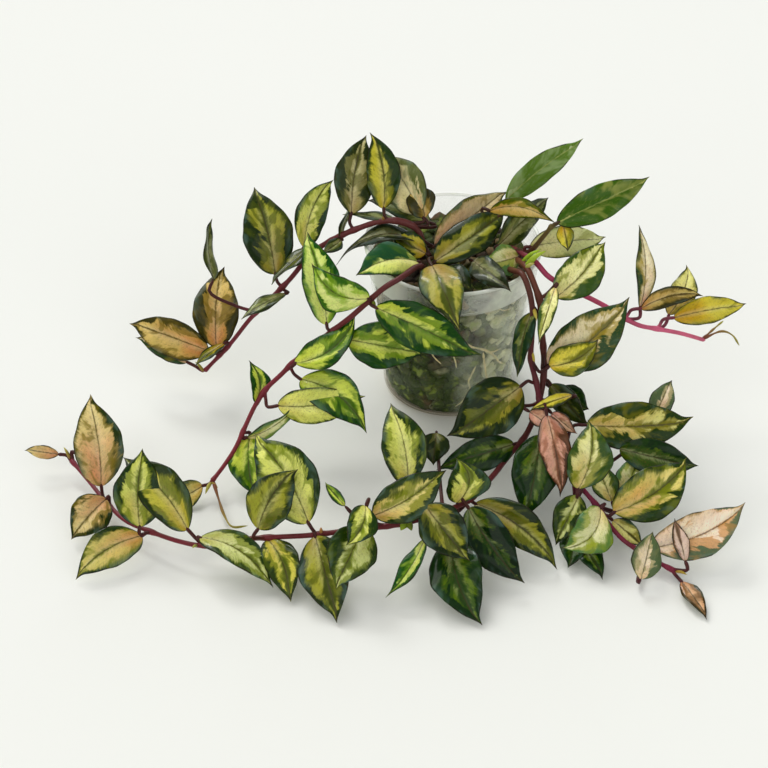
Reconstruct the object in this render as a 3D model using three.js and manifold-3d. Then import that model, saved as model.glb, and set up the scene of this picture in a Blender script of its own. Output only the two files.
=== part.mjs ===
// A trailing wax plant with tricolour leaves, growing in a clear nursery pot of bark mix.
// Millimetres, +Z up. The origin is the middle of the pot's foot, and the plant's front is -Y.

import * as THREE from "three";
import { mergeVertices } from "three/addons/utils/BufferGeometryUtils.js";
import Module from "manifold-3d";

const wasm = await Module();
wasm.setup();

// Pot
const POT_HEIGHT = 103;
const RIM_DIAMETER = 105;
const FOOT_DIAMETER = 80;
const BAND_HEIGHT = 17.5;
const NECK_RADIUS = 49.3;
const WALL = 1.1;
const FLOOR = 1.6;
const POT_FACETS = 30;
const DRAIN_HOLES = 6;
const DRAIN_RADIUS = 4;
const DRAIN_CIRCLE = 25;

// Potting mix
const MIX_TOP = 89.5;
const SEAT_GAP = 0.35;
const MIX_FACETS = 30;
const BARK_CHIPS = 7;
const BARK_CHIP = 11;

// Stems, leaf stalks and blades
const STEM_ROOT_RADIUS = 2.0;
const STEM_TIP_RADIUS = 1.3;
const STEM_SIDES = 6;
const STEM_STEP = 14;
const STALK_RADIUS = 1.05;
const STALK_SIDES = 3;
const STALK_STEPS = 2;
const BLADE_MID = 1.3;
const BLADE_EDGE = 0.7;
const BLADE_FOLD = 0.13;
const BLADE_WAVE = 0.022;
const WIDEST_AT = 0.42;
const BLADE_ROWS = [0.08, 0.32, 0.62, 0.87];
const SMALL_BLADE = 44;
const SMALL_BLADE_ROWS = [0.12, 0.45, 0.8];

// The path of each stem: it starts inside the mix, leaves it at the second point, and trails away.
const STEMS = {
  back_left: [
    [-18, 2, 80], [-18, 1, 98], [-22, 2, 110], [-32, 2, 115], [-43, 3, 114], [-58, 3, 108],
    [-70, 2, 102], [-83, -1, 94], [-96, -8, 80], [-108, -9, 66], [-121, -8, 50], [-132, -12, 36],
    [-141, -15, 26], [-150, -20, 18],
  ],
  front_left: [
    [-17, -18, 80], [-17, -19, 95], [-22, -30, 105], [-31, -46, 109], [-40, -50, 105],
    [-47, -49, 97], [-58, -51, 86], [-69, -52, 76], [-81, -54, 66], [-92, -58, 57], [-100, -62, 50],
    [-108, -67, 44], [-114, -73, 37], [-120, -83, 28], [-125, -93, 21], [-131, -101, 15],
    [-138, -110, 10],
  ],
  front: [
    [30, -6, 80], [31, -7, 94], [37, -24, 106], [41, -36, 109], [45, -46, 104], [48, -51, 97],
    [49, -54, 86], [51, -59, 72], [52, -66, 56], [48, -80, 41], [41, -92, 31], [32, -102, 26],
    [21, -120, 25], [8, -139, 26], [-6, -151, 28], [-22, -158, 28], [-39, -162, 27], [-57, -163, 25],
    [-77, -164, 22], [-98, -163, 19], [-117, -162, 16], [-137, -164, 13], [-151, -160, 12],
    [-169, -151, 11], [-183, -142, 10], [-197, -125, 9], [-209, -108, 9], [-221, -93, 11],
  ],
  right: [
    [25, -16, 80], [27, -17, 94], [34, -34, 106], [38, -42, 109], [42, -50, 102], [44, -56, 91],
    [44, -60, 78], [44, -65, 66], [47, -71, 56], [49, -80, 49], [52, -94, 38], [60, -113, 31],
    [70, -127, 26], [79, -138, 21], [85, -148, 17], [93, -157, 13], [103, -162, 9], [112, -168, 7],
    [120, -172, 5],
  ],
  back_right: [
    [28, 6, 80], [28, 5, 94], [37, -14, 106], [46, -31, 110], [53, -39, 106], [66, -43, 100],
    [77, -43, 94], [88, -44, 88], [97, -45, 82], [107, -46, 77], [117, -45, 74], [132, -44, 70],
    [147, -44, 65],
  ],
  upright: [[33, -6, 101], [37, -14, 106], [43, -23, 112], [49, -28, 125], [54, -31, 136]],
  crown: [
    [-8, -4, 80], [-8, -4, 97], [-3, -3, 104], [8, 0, 107], [19, 5, 110], [29, 12, 115],
  ],
};

// Thin bare shoots at the stems' ends: stem, radius, path.
const SHOOTS = [
  ["front_left", 0.9, [[-137, -109, 10], [-133, -121, 7], [-129, -132, 5], [-124, -140, 4], [-115, -139, 4]]],
  ["back_right", 0.8, [[145, -44, 66], [153, -37, 69], [158, -34, 72]]],
  ["back_right", 0.8, [[145, -44, 66], [157, -39, 68], [163, -40, 66], [167, -45, 62]]],
];

// Each leaf: stem, how far along the stem (from the mix) its stalk leaves, blade base x y z,
// heading, rise and roll in degrees, length, width, arch, sideways sweep.
const LEAVES = {
  crown1: ["crown", 4, -11, -16, 99, 36, 16, 24, 55, 24, 5, -2],
  crown2: ["crown", 9, -11, -4, 102, 42, 14, 31, 60, 22, 5, -1],
  crown3: ["crown", 33, 21, 8, 119, -19, 0, 86, 40, 13, 4, 9],
  crown4: ["back_right", 9, 26, -6, 104, 45, 18, 65, 46, 18, 4, 3],
  crown5: ["front", 15, 37, -20, 106, -160, -4, -53, 22, 19, 2, 0],
  crown6: ["right", 2, 11, -19, 102, -60, 7, 26, 42, 16, 3, -1],
  crown7: ["crown", 3, -13, -27, 104, -72, -14, 14, 49, 25, 8, 0],
  crown8: ["crown", 2, -6, -18, 96, -54, -2, 14, 28, 18, 2, -1],
  crown9: ["front_left", 9, -21, -22, 103, -146, 8, -25, 43, 23, 3, -4],
  crown10: ["back_left", 8, -16, -9, 100, 149, 10, -50, 24, 16, 2, 0],
  crown11: ["back_left", 6, -14, 0, 99, -176, -11, 0, 56, 15, 14, 0],
  crown12: ["back_left", 16, -14, 12, 108, 158, 8, -18, 40, 17, 4, 0],
  crown13: ["back_left", 18, -17, 6, 115, 130, 43, -23, 22, 18, 2, -2],
  crown14: ["back_left", 20, -20, 7, 117, 131, 33, -50, 43, 26, 4, -4],
  crown15: ["crown", 44, 31, 21, 118, 31, 24, 54, 60, 17, 5, 3],
  backleft1: ["back_left", 27, -41, 6, 121, 103, 45, -11, 46, 20, 4, -3],
  backleft2: ["back_left", 52, -60, 8, 116, 77, 45, 22, 48, 24, 4, 3],
  backleft3: ["back_left", 60, -67, 1, 104, 49, 32, 105, 38, 14, -5, 0],
  backleft4: ["back_left", 25, -33, 5, 113, 166, 0, 10, 33, 11, 0, 0],
  backleft5: ["back_left", 82, -88, 0, 97, 62, 39, 46, 45, 20, 4, 6],
  backleft6: ["back_left", 108, -105, -5, 81, 111, 42, -14, 55, 30, 5, -2],
  backleft7: ["back_left", 77, -83, 0, 98, -133, -14, 20, 36, 13, 0, 0],
  backleft8: ["back_left", 67, -66, 1, 102, -129, -1, -23, 17, 9, 1, 1],
  backleft9: ["back_left", 109, -99, -12, 72, -140, -6, 4, 33, 12, 1, 0],
  backleft10: ["back_left", 134, -143, 3, 71, 96, 41, 66, 38, 15, -3, 0],
  backleft11: ["back_left", 165, -142, -14, 32, 87, 41, 8, 51, 28, 5, 2],
  backleft12: ["back_left", 171, -147, -14, 30, 164, 12, -67, 52, 25, 5, -2],
  backleft13: ["back_left", 186, -160, -17, 23, 158, 15, -44, 36, 14, 3, -2],
  backleft14: ["back_left", 164, -137, -15, 36, -139, -13, 17, 23, 12, 0, 0],
  left1: ["front_left", 88, -73, -51, 79, 109, 40, -13, 56, 22, 5, -3],
  left2: ["front_left", 59, -49, -51, 98, 169, 32, -68, 38, 22, 3, 7],
  left3: ["front_left", 59, -45, -54, 94, -21, -16, 59, 66, 26, 6, 2],
  left4: ["front_left", 88, -61, -53, 70, -2, -11, 52, 45, 27, 4, 0],
  left5: ["front_left", 120, -91, -62, 59, 27, 29, 21, 45, 20, 4, -9],
  left6: ["front_left", 121, -88, -64, 49, -33, -21, 39, 50, 25, 5, 6],
  left7: ["front_left", 142, -101, -76, 39, 5, 7, 60, 51, 22, 5, -2],
  left8: ["front_left", 143, -114, -72, 38, 106, 40, 22, 25, 13, 2, -4],
  left9: ["front_left", 169, -119, -87, 24, 24, 26, 96, 37, 12, 4, 0],
  left10: ["front_left", 169, -117, -85, 23, -81, -33, 12, 37, 23, 3, -2],
  left11: ["front_left", 205, -143, -111, 8, -165, -8, -40, 26, 16, 2, 3],
  front1: ["front", 462, -228, -91, 13, 175, 6, -46, 20, 8, 2, 0],
  front2: ["front", 461, -218, -92, 15, -20, -7, 52, 21, 8, 2, 0],
  front3: ["front", 422, -199, -120, 15, 104, 43, -1, 53, 28, 5, -2],
  front4: ["front", 418, -195, -129, 14, -130, -21, -36, 30, 23, 3, -1],
  front5: ["front", 383, -172, -156, 12, -144, -11, -41, 43, 22, 4, -4],
  front6: ["front", 384, -173, -154, 17, 87, 48, 10, 43, 27, 4, 2],
  front7: ["front", 349, -146, -158, 19, 139, 23, -28, 56, 25, 5, -4],
  front8: ["front", 348, -139, -164, 19, -31, -16, 4, 49, 21, 4, 5],
  front9: ["front", 314, -102, -163, 17, -68, -23, 22, 38, 20, 3, 4],
  front10: ["front", 285, -76, -166, 23, -72, -25, 26, 50, 28, 4, 1],
  front11: ["front", 268, -50, -168, 32, -117, -27, -20, 37, 27, 3, 0],
  front12: ["front", 287, -80, -160, 27, 128, 26, -24, 59, 32, 5, -4],
  front13: ["front", 316, -107, -165, 27, 48, 39, 32, 39, 25, 4, 3],
  front14: ["front", 266, -49, -166, 46, -117, -27, -20, 24, 17, 2, 3],
  front15: ["front", 266, -60, -166, 46, 136, 24, -31, 17, 6, 1, 0],
  front16: ["front", 249, -45, -161, 34, 27, 22, 40, 47, 24, 4, -3],
  front17: ["front", 243, -26, -144, 41, 106, 32, -13, 48, 25, 4, -3],
  front18: ["front", 238, -17, -159, 40, -46, -28, 33, 38, 25, 3, 0],
  front19: ["front", 196, 1, -145, 29, 93, 50, -5, 25, 24, 2, -7],
  front20: ["front", 214, -2, -164, 20, -73, -20, 16, 52, 29, 4, -4],
  front21: ["front", 198, 7, -150, 30, -49, -28, 31, 51, 25, 5, -2],
  front22: ["front", 194, 11, -140, 24, -32, -21, 40, 58, 22, 5, 5],
  front23: ["front", 229, -17, -167, 22, -126, -24, 6, 38, 11, 3, 4],
  front24: ["front", 217, -10, -102, 42, -98, -32, -4, 19, 17, 2, 0],
  right1: ["right", 96, 38, -78, 57, -147, -19, -38, 52, 32, 5, 0],
  right2: ["front", 141, 35, -96, 29, -160, -5, -44, 48, 20, 4, 0],
  right3: ["front", 65, 44, -54, 92, -106, -40, 12, 39, 12, 3, -1],
  right4: ["front", 55, 56, -51, 107, -111, -35, 8, 35, 10, 3, 1],
  right5: ["front", 54, 57, -47, 97, 43, 30, 32, 44, 24, 4, -3],
  right6: ["front", 84, 54, -67, 64, 21, 36, 36, 60, 31, 5, -5],
  right7: ["right", 82, 54, -72, 67, 10, 29, 29, 32, 20, 3, -5],
  right8: ["front", 102, 56, -70, 52, -43, -27, 60, 32, 16, 3, 1],
  right9: ["front", 96, 60, -68, 46, -17, -27, 51, 22, 17, 2, 0],
  right10: ["right", 107, 67, -83, 55, -161, -9, -15, 27, 8, 2, 1],
  right11: ["right", 108, 43, -91, 49, -35, -15, 43, 15, 10, 1, 0],
  right12: ["right", 111, 52, -96, 51, -77, -37, 16, 47, 18, 4, 1],
  right13: ["right", 110, 55, -93, 50, -41, -16, 41, 19, 9, 2, 0],
  right14: ["right", 164, 68, -136, 32, 77, 44, 3, 39, 25, 3, -4],
  right15: ["right", 117, 49, -99, 39, -104, -38, -5, 50, 27, 5, 1],
  right16: ["right", 145, 75, -95, 43, 5, 0, 49, 62, 28, 5, -2],
  right17: ["right", 163, 114, -88, 42, 60, 32, 14, 26, 14, 2, 0],
  right18: ["right", 163, 93, -108, 37, -8, -10, 50, 46, 20, 4, 0],
  right19: ["right", 184, 88, -142, 20, 29, 21, 35, 52, 29, 5, -4],
  right20: ["right", 178, 94, -129, 17, 62, 31, 12, 30, 17, 3, 0],
  right21: ["right", 178, 88, -132, 19, 114, 34, -5, 25, 16, 2, 1],
  right22: ["right", 180, 80, -144, 25, -140, -24, -29, 32, 24, 3, 7],
  right23: ["right", 164, 69, -134, 25, -122, -33, -17, 31, 18, 3, 0],
  right24: ["right", 159, 68, -146, 7, -103, -6, -3, 25, 16, 2, 0],
  right25: ["right", 163, 70, -152, 6, -66, -5, 12, 27, 13, 2, 0],
  right26: ["right", 185, 88, -142, 14, -33, -25, 36, 22, 12, 2, 0],
  right27: ["right", 213, 108, -161, 12, 21, 15, 37, 58, 25, 5, -5],
  right28: ["right", 233, 125, -170, 11, 109, 39, -13, 24, 9, 2, 0],
  right29: ["right", 216, 100, -180, 7, 72, 36, 34, 27, 19, 2, 1],
  right30: ["right", 235, 123, -178, 3, -68, -1, 8, 28, 10, 1, 0],
  backright1: ["back_right", 108, 107, -41, 86, 92, 43, 19, 49, 12, 4, -2],
  backright2: ["back_right", 108, 107, -43, 87, 8, 10, 60, 37, 12, 3, 4],
  backright3: ["back_right", 129, 125, -37, 78, 64, 32, 12, 33, 16, 3, -3],
  backright4: ["back_right", 129, 127, -41, 79, 9, 6, 50, 44, 16, 4, 1],
  backright5: ["back_right", 33, 43, -20, 113, 10, 0, 60, 46, 19, 4, 2],
  upright1: ["upright", 40, 56, -31, 137, 22, 16, 48, 60, 20, 5, 0],
  upright2: ["upright", 39, 60, -30, 135, -79, -35, 16, 16, 10, 1, 0],
};

const NODES = {
  vine_back_left: { stems: ["back_left"], colour: 0x7c8a4a },
  vine_front_left: { stems: ["front_left"], colour: 0xa3b84f },
  vine_front_right: { stems: ["front", "right"], colour: 0x6f7f3c },
  vine_back_right: { stems: ["back_right", "upright"], colour: 0xb09a72 },
  crown_shoot: { stems: ["crown"], colour: 0x6d7347 },
};

// A closed geometry as a solid, with shared corners merged.
function solid(geometry) {
  const bare = geometry.clone();
  bare.deleteAttribute("normal");
  bare.deleteAttribute("uv");
  const merged = mergeVertices(bare, 1e-4);
  const mesh = new wasm.Mesh({
    numProp: 3,
    vertProperties: new Float32Array(merged.attributes.position.array),
    triVerts: new Uint32Array(merged.index.array),
  });
  return new wasm.Manifold(mesh);
}

// A solid as a named mesh with flat facets.
function named(name, body, colour, roughness, extra = {}) {
  const { vertProperties, triVerts } = body.getMesh();
  const geometry = new THREE.BufferGeometry();
  geometry.setAttribute("position", new THREE.BufferAttribute(vertProperties, 3));
  geometry.setIndex(new THREE.BufferAttribute(triVerts, 1));
  geometry.computeVertexNormals();
  const material = new THREE.MeshStandardMaterial({ color: colour, roughness, metalness: 0, ...extra });
  const mesh = new THREE.Mesh(geometry, material);
  mesh.name = name;
  return mesh;
}

// Triangles from lists of points and corner numbers.
function shell(points, corners) {
  const geometry = new THREE.BufferGeometry();
  const flat = points.flatMap((p) => [p.x, p.y, p.z]);
  geometry.setAttribute("position", new THREE.Float32BufferAttribute(flat, 3));
  geometry.setIndex(corners);
  return geometry;
}

// A round rod along a curve, with its radius given at both ends.
function rod(curve, steps, sides, startRadius, endRadius) {
  const frames = curve.computeFrenetFrames(steps, false);
  const points = [];
  const corners = [];
  for (let i = 0; i <= steps; i += 1) {
    const centre = curve.getPointAt(i / steps);
    const radius = startRadius + ((endRadius - startRadius) * i) / steps;
    for (let k = 0; k < sides; k += 1) {
      const turn = (2 * Math.PI * k) / sides;
      const ray = frames.normals[i].clone().multiplyScalar(Math.cos(turn));
      ray.addScaledVector(frames.binormals[i], Math.sin(turn));
      points.push(centre.clone().addScaledVector(ray, radius));
    }
  }
  for (let i = 0; i < steps; i += 1) {
    for (let k = 0; k < sides; k += 1) {
      const a = i * sides + k;
      const b = i * sides + ((k + 1) % sides);
      corners.push(a, b, b + sides, a, b + sides, a + sides);
    }
  }
  const last = steps * sides;
  for (let k = 1; k < sides - 1; k += 1) {
    corners.push(0, k + 1, k);
    corners.push(last, last + k, last + k + 1);
  }
  return shell(points, corners);
}

const vector = ([x, y, z]) => new THREE.Vector3(x, y, z);
const curveOf = (path) => new THREE.CatmullRomCurve3(path.map(vector), false, "centripetal");
const paths = Object.fromEntries(Object.entries(STEMS).map(([name, path]) => [name, curveOf(path)]));

// The point a given length along a stem, counted from where it leaves the mix.
function onStem(name, length) {
  const curve = paths[name];
  const buried = vector(STEMS[name][0]).distanceTo(vector(STEMS[name][1]));
  const share = Math.min(0.995, (length + buried) / curve.getLength());
  return curve.getPointAt(share);
}

// Half the blade's width as a share of its greatest, from base (0) to tip (1).
function outline(s) {
  if (s < WIDEST_AT) {
    return (1 - (1 - s / WIDEST_AT) ** 2) ** 0.6;
  }
  return (1 - ((s - WIDEST_AT) / (1 - WIDEST_AT)) ** 1.8) ** 1.2;
}

// The blade's own directions: along, to its left, and up from its face.
function bladeFrame(heading, rise, roll) {
  const h = THREE.MathUtils.degToRad(heading);
  const r = THREE.MathUtils.degToRad(rise);
  const t = THREE.MathUtils.degToRad(roll);
  const along = new THREE.Vector3(Math.cos(r) * Math.cos(h), Math.cos(r) * Math.sin(h), Math.sin(r));
  const level = new THREE.Vector3(0, 0, 1).cross(along).normalize();
  const above = along.clone().cross(level);
  const left = level.clone().multiplyScalar(Math.cos(t)).addScaledVector(above, Math.sin(t));
  return { along, left, up: along.clone().cross(left) };
}

// One blade: a thin arched, folded and waved sheet with a pointed tip, closed all round.
function blade(row, phase) {
  const [, , x, y, z, heading, rise, roll, length, width, arch, sweep] = row;
  const { along, left, up } = bladeFrame(heading, rise, roll);
  const midline = (s) => {
    const bell = 4 * s * (1 - s);
    return new THREE.Vector3(x, y, z)
      .addScaledVector(along, s * length)
      .addScaledVector(up, bell * arch)
      .addScaledVector(left, bell * sweep);
  };
  const points = [];
  const pair = (p, thickness) => {
    points.push(p.clone().addScaledVector(up, thickness / 2));
    points.push(p.clone().addScaledVector(up, -thickness / 2));
    return points.length - 2;
  };
  const edge = (s, side) => {
    const half = (outline(s) * width) / 2;
    const wave = BLADE_WAVE * length * Math.sin(9 * s + phase + side);
    return midline(s)
      .addScaledVector(left, side * half)
      .addScaledVector(up, BLADE_FOLD * half + wave);
  };
  const base = pair(midline(0), BLADE_EDGE);
  const spacing = length < SMALL_BLADE ? SMALL_BLADE_ROWS : BLADE_ROWS;
  const rows = spacing.map((s) => ({
    l: pair(edge(s, 1), BLADE_EDGE),
    m: pair(midline(s), BLADE_MID),
    r: pair(edge(s, -1), BLADE_EDGE),
  }));
  const tip = pair(midline(1), BLADE_EDGE);
  const faces = [[base, rows[0].r, rows[0].m], [base, rows[0].m, rows[0].l]];
  for (let i = 0; i + 1 < rows.length; i += 1) {
    const [a, b] = [rows[i], rows[i + 1]];
    faces.push([a.m, a.r, b.r], [a.m, b.r, b.m], [a.l, a.m, b.m], [a.l, b.m, b.l]);
  }
  const end = rows[rows.length - 1];
  faces.push([end.m, end.r, tip], [end.l, end.m, tip]);
  const corners = faces.flatMap(([a, b, c]) => [a, b, c, a + 1, c + 1, b + 1]);
  const rim = [base, ...rows.map((q) => q.r), tip, ...rows.map((q) => q.l).reverse()];
  rim.forEach((u, i) => {
    const v = rim[(i + 1) % rim.length];
    corners.push(v, u, u + 1, v, u + 1, v + 1);
  });
  return shell(points, corners);
}

// The stalk bends out of the stem and runs into the blade's base along its midline.
function stalk(row) {
  const [stem, length, x, y, z, heading, rise, roll, bladeLength, , arch] = row;
  const { along, up } = bladeFrame(heading, rise, roll);
  const foot = onStem(stem, length);
  const base = new THREE.Vector3(x, y, z);
  const gap = foot.distanceTo(base);
  const inside = base.clone().addScaledVector(along, 0.025 * bladeLength);
  inside.addScaledVector(up, 0.08 * arch);
  const lead = base.clone().addScaledVector(along, -Math.min(7, gap * 0.5));
  lead.addScaledVector(up, -0.1 * gap);
  const out = foot.clone().lerp(lead, 0.45);
  out.z -= Math.min(2, gap * 0.08);
  const curve = new THREE.CatmullRomCurve3([foot, out, lead, base, inside], false, "centripetal");
  const steps = gap > 14 ? STALK_STEPS + 1 : STALK_STEPS;
  return rod(curve, steps, STALK_SIDES, STALK_RADIUS * 1.15, STALK_RADIUS * 0.85);
}

// One solid from many: pockets sealed between leaves are filled, and loose scraps are dropped.
function join(parts) {
  const pieces = wasm.Manifold.union(parts).decompose();
  return pieces.reduce((most, piece) => (piece.volume() > most.volume() ? piece : most));
}

// A leafy stem: its rods, its shoots, and a stalk and blade for each of its leaves, as one body.
function leafyStem(stems) {
  const parts = [];
  for (const name of stems) {
    const curve = paths[name];
    const steps = Math.round(curve.getLength() / STEM_STEP);
    parts.push(solid(rod(curve, steps, STEM_SIDES, STEM_ROOT_RADIUS, STEM_TIP_RADIUS)));
  }
  for (const [name, radius, path] of SHOOTS) {
    if (stems.includes(name)) {
      parts.push(solid(rod(curveOf(path), 5, STALK_SIDES, radius, radius * 0.7)));
    }
  }
  Object.values(LEAVES).forEach((row, i) => {
    if (stems.includes(row[0])) {
      parts.push(solid(stalk(row)));
      parts.push(solid(blade(row, i * 2.4)));
    }
  });
  return join(parts);
}

// Radius of the pot's inner wall at a height.
function innerRadius(z) {
  const bandFoot = POT_HEIGHT - BAND_HEIGHT;
  const t = Math.min(1, z / bandFoot);
  return FOOT_DIAMETER / 2 + (NECK_RADIUS - FOOT_DIAMETER / 2) * t - WALL;
}

// The pot: a thin tapered cup with a stepped band, a rolled rim and holes in its floor.
function pot() {
  const rim = RIM_DIAMETER / 2;
  const foot = FOOT_DIAMETER / 2;
  const bandFoot = POT_HEIGHT - BAND_HEIGHT;
  const profile = [
    [0, 0], [foot - 1.8, 0], [foot, 2], [NECK_RADIUS, bandFoot - 0.6], [rim - 2, bandFoot + 0.4],
    [rim - 1.2, POT_HEIGHT - 2.8], [rim, POT_HEIGHT - 2.2], [rim, POT_HEIGHT - 0.7],
    [rim - 0.8, POT_HEIGHT], [rim - 2.2, POT_HEIGHT - 0.4], [rim - 2.2 - 0.1, POT_HEIGHT - 3],
    [rim - 2 - WALL, bandFoot + 1.4], [NECK_RADIUS - WALL, bandFoot - 0.6],
    [innerRadius(FLOOR + 1.4), FLOOR + 1.4], [innerRadius(FLOOR) - 1.4, FLOOR], [0, FLOOR],
  ].map(([r, z]) => new THREE.Vector2(r, z));
  const cup = new THREE.LatheGeometry(profile, POT_FACETS);
  cup.rotateX(Math.PI / 2);
  let body = solid(cup);
  for (let i = 0; i < DRAIN_HOLES; i += 1) {
    const turn = (2 * Math.PI * (i + 0.5)) / DRAIN_HOLES;
    const hole = new THREE.CylinderGeometry(DRAIN_RADIUS, DRAIN_RADIUS, FLOOR * 4, 10);
    hole.rotateX(Math.PI / 2);
    hole.translate(DRAIN_CIRCLE * Math.cos(turn), DRAIN_CIRCLE * Math.sin(turn), FLOOR / 2);
    body = body.subtract(solid(hole));
  }
  return body;
}

// The mix: it fills the pot, with rounded bark relief on top, root ridges down its side,
// loose chips pressed into its top, and a plain hole for each stem.
function mix() {
  const low = FLOOR + SEAT_GAP;
  const side = [low, 3.6, 20, 37, 54, 71, 84, MIX_TOP - 3].map((z) => {
    const wall = innerRadius(z) - SEAT_GAP;
    return new THREE.Vector2(z < 3 ? wall - 1.9 : wall, z);
  });
  const edge = side[side.length - 1].x;
  const top = [0.96, 0.78, 0.58, 0.38, 0.18].map((t) => new THREE.Vector2(edge * t, MIX_TOP));
  const profile = [new THREE.Vector2(0, low), ...side, ...top, new THREE.Vector2(0, MIX_TOP)];
  const lump = new THREE.LatheGeometry(profile, MIX_FACETS);
  lump.rotateX(Math.PI / 2);
  const place = lump.attributes.position;
  for (let i = 0; i < place.count; i += 1) {
    const p = new THREE.Vector3().fromBufferAttribute(place, i);
    const r = Math.hypot(p.x, p.y);
    if (p.z > MIX_TOP - 0.5 && r < edge - 0.5) {
      const relief = Math.sin(p.x * 0.31 + 1) * Math.cos(p.y * 0.27) + Math.sin(p.x * 0.62 - p.y * 0.55);
      p.z += 1.1 * relief + 1.2 * (1 - r / edge);
    } else if (p.z > 5 && p.z < MIX_TOP - 4) {
      const turn = Math.atan2(p.y, p.x);
      const ridge = Math.sin(turn * 9 + p.z * 0.06) * Math.cos(turn * 4 - p.z * 0.09);
      const inward = 0.7 - 0.7 * ridge;
      p.x *= 1 - inward / r;
      p.y *= 1 - inward / r;
    }
    place.setXYZ(i, p.x, p.y, p.z);
  }
  let body = solid(lump);
  const chips = [];
  for (let i = 0; i < BARK_CHIPS; i += 1) {
    const turn = i * 2.4;
    const out = 8 + 33 * Math.sqrt((i + 0.5) / BARK_CHIPS);
    const chip = new THREE.BoxGeometry(BARK_CHIP, BARK_CHIP * (0.5 + 0.06 * (i % 5)), 4.5);
    chip.rotateX(0.18 * Math.sin(i * 1.7));
    chip.rotateY(0.22 * Math.cos(i * 2.9));
    chip.rotateZ(turn * 1.9);
    const reach = Math.min(out, edge - 8);
    chip.translate(reach * Math.cos(turn), reach * Math.sin(turn), MIX_TOP + 0.4);
    chips.push(solid(chip));
  }
  body = join([body, ...chips]);
  for (const [name, path] of Object.entries(STEMS)) {
    if (name === "upright") continue;
    const start = vector(path[0]);
    const way = vector(path[1]).sub(start).normalize();
    const below = start.clone().addScaledVector(way, -SEAT_GAP);
    const above = start.clone().addScaledVector(way, 30);
    const bore = rod(new THREE.LineCurve3(below, above), 1, 8, STEM_ROOT_RADIUS + 0.8, STEM_ROOT_RADIUS + 0.8);
    body = body.subtract(solid(bore));
  }
  return body;
}

const plant = new THREE.Group();
const clear = { transparent: true, opacity: 0.45 };
plant.add(named("pot", pot(), 0xdfe5e2, 0.3, clear));
plant.add(named("potting_mix", mix(), 0x4a3a2c, 0.95));
for (const [name, { stems, colour }] of Object.entries(NODES)) {
  plant.add(named(name, leafyStem(stems), colour, 0.5));
}

export default plant;
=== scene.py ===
import math
import random
from bisect import bisect_right
from itertools import accumulate

import bmesh
import bpy
from mathutils import Matrix, Vector, noise


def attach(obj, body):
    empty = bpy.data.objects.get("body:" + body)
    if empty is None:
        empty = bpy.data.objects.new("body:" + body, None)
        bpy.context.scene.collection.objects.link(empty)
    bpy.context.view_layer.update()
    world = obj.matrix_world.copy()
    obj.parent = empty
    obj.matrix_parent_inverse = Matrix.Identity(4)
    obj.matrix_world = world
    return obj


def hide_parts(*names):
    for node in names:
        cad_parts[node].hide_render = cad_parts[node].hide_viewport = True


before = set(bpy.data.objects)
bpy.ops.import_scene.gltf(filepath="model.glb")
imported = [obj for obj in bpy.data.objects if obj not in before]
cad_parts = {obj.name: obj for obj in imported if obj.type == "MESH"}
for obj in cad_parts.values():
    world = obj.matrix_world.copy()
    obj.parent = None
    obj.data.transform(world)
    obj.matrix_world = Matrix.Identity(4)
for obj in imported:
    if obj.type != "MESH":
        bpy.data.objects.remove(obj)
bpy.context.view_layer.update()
scene = bpy.context.scene
rng = random.Random(41)

# -------- sizes, in millimetres
MM = 0.001  # one millimetre in metres
POT_HEIGHT = 103
RIM_RADIUS = 52.5
FOOT_RADIUS = 40
NECK_RADIUS = 49.3
BAND_FOOT = 85.5
WALL = 1.1
FLOOR = 1.6
CORNER = 0.9
POT_STEPS = 144
DRAIN_HOLES = 6
DRAIN_RADIUS = 4
DRAIN_CIRCLE = 25
MIX_TOP = 89.5
SEAT_GAP = 0.35
MIX_STEPS = 110
MIX_LAYERS = 26
ROOT_STEPS = 60
CHIPS = 430
TOP_CHIPS = 150
TOP_REACH = 45
EXIT_CLEAR = 7
FINE_ROOTS = 40
STEM_ROOT_RADIUS = 2.0
STEM_TIP_RADIUS = 1.3
STALK_RADIUS = 1.05
BLADE_MID = 1.3
BLADE_EDGE = 0.7
BLADE_FOLD = 0.13
BLADE_WAVE = 0.022
WIDEST_AT = 0.42
GOLDEN_TURN = 2.39996  # radians between neighbours in an even scatter

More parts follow.
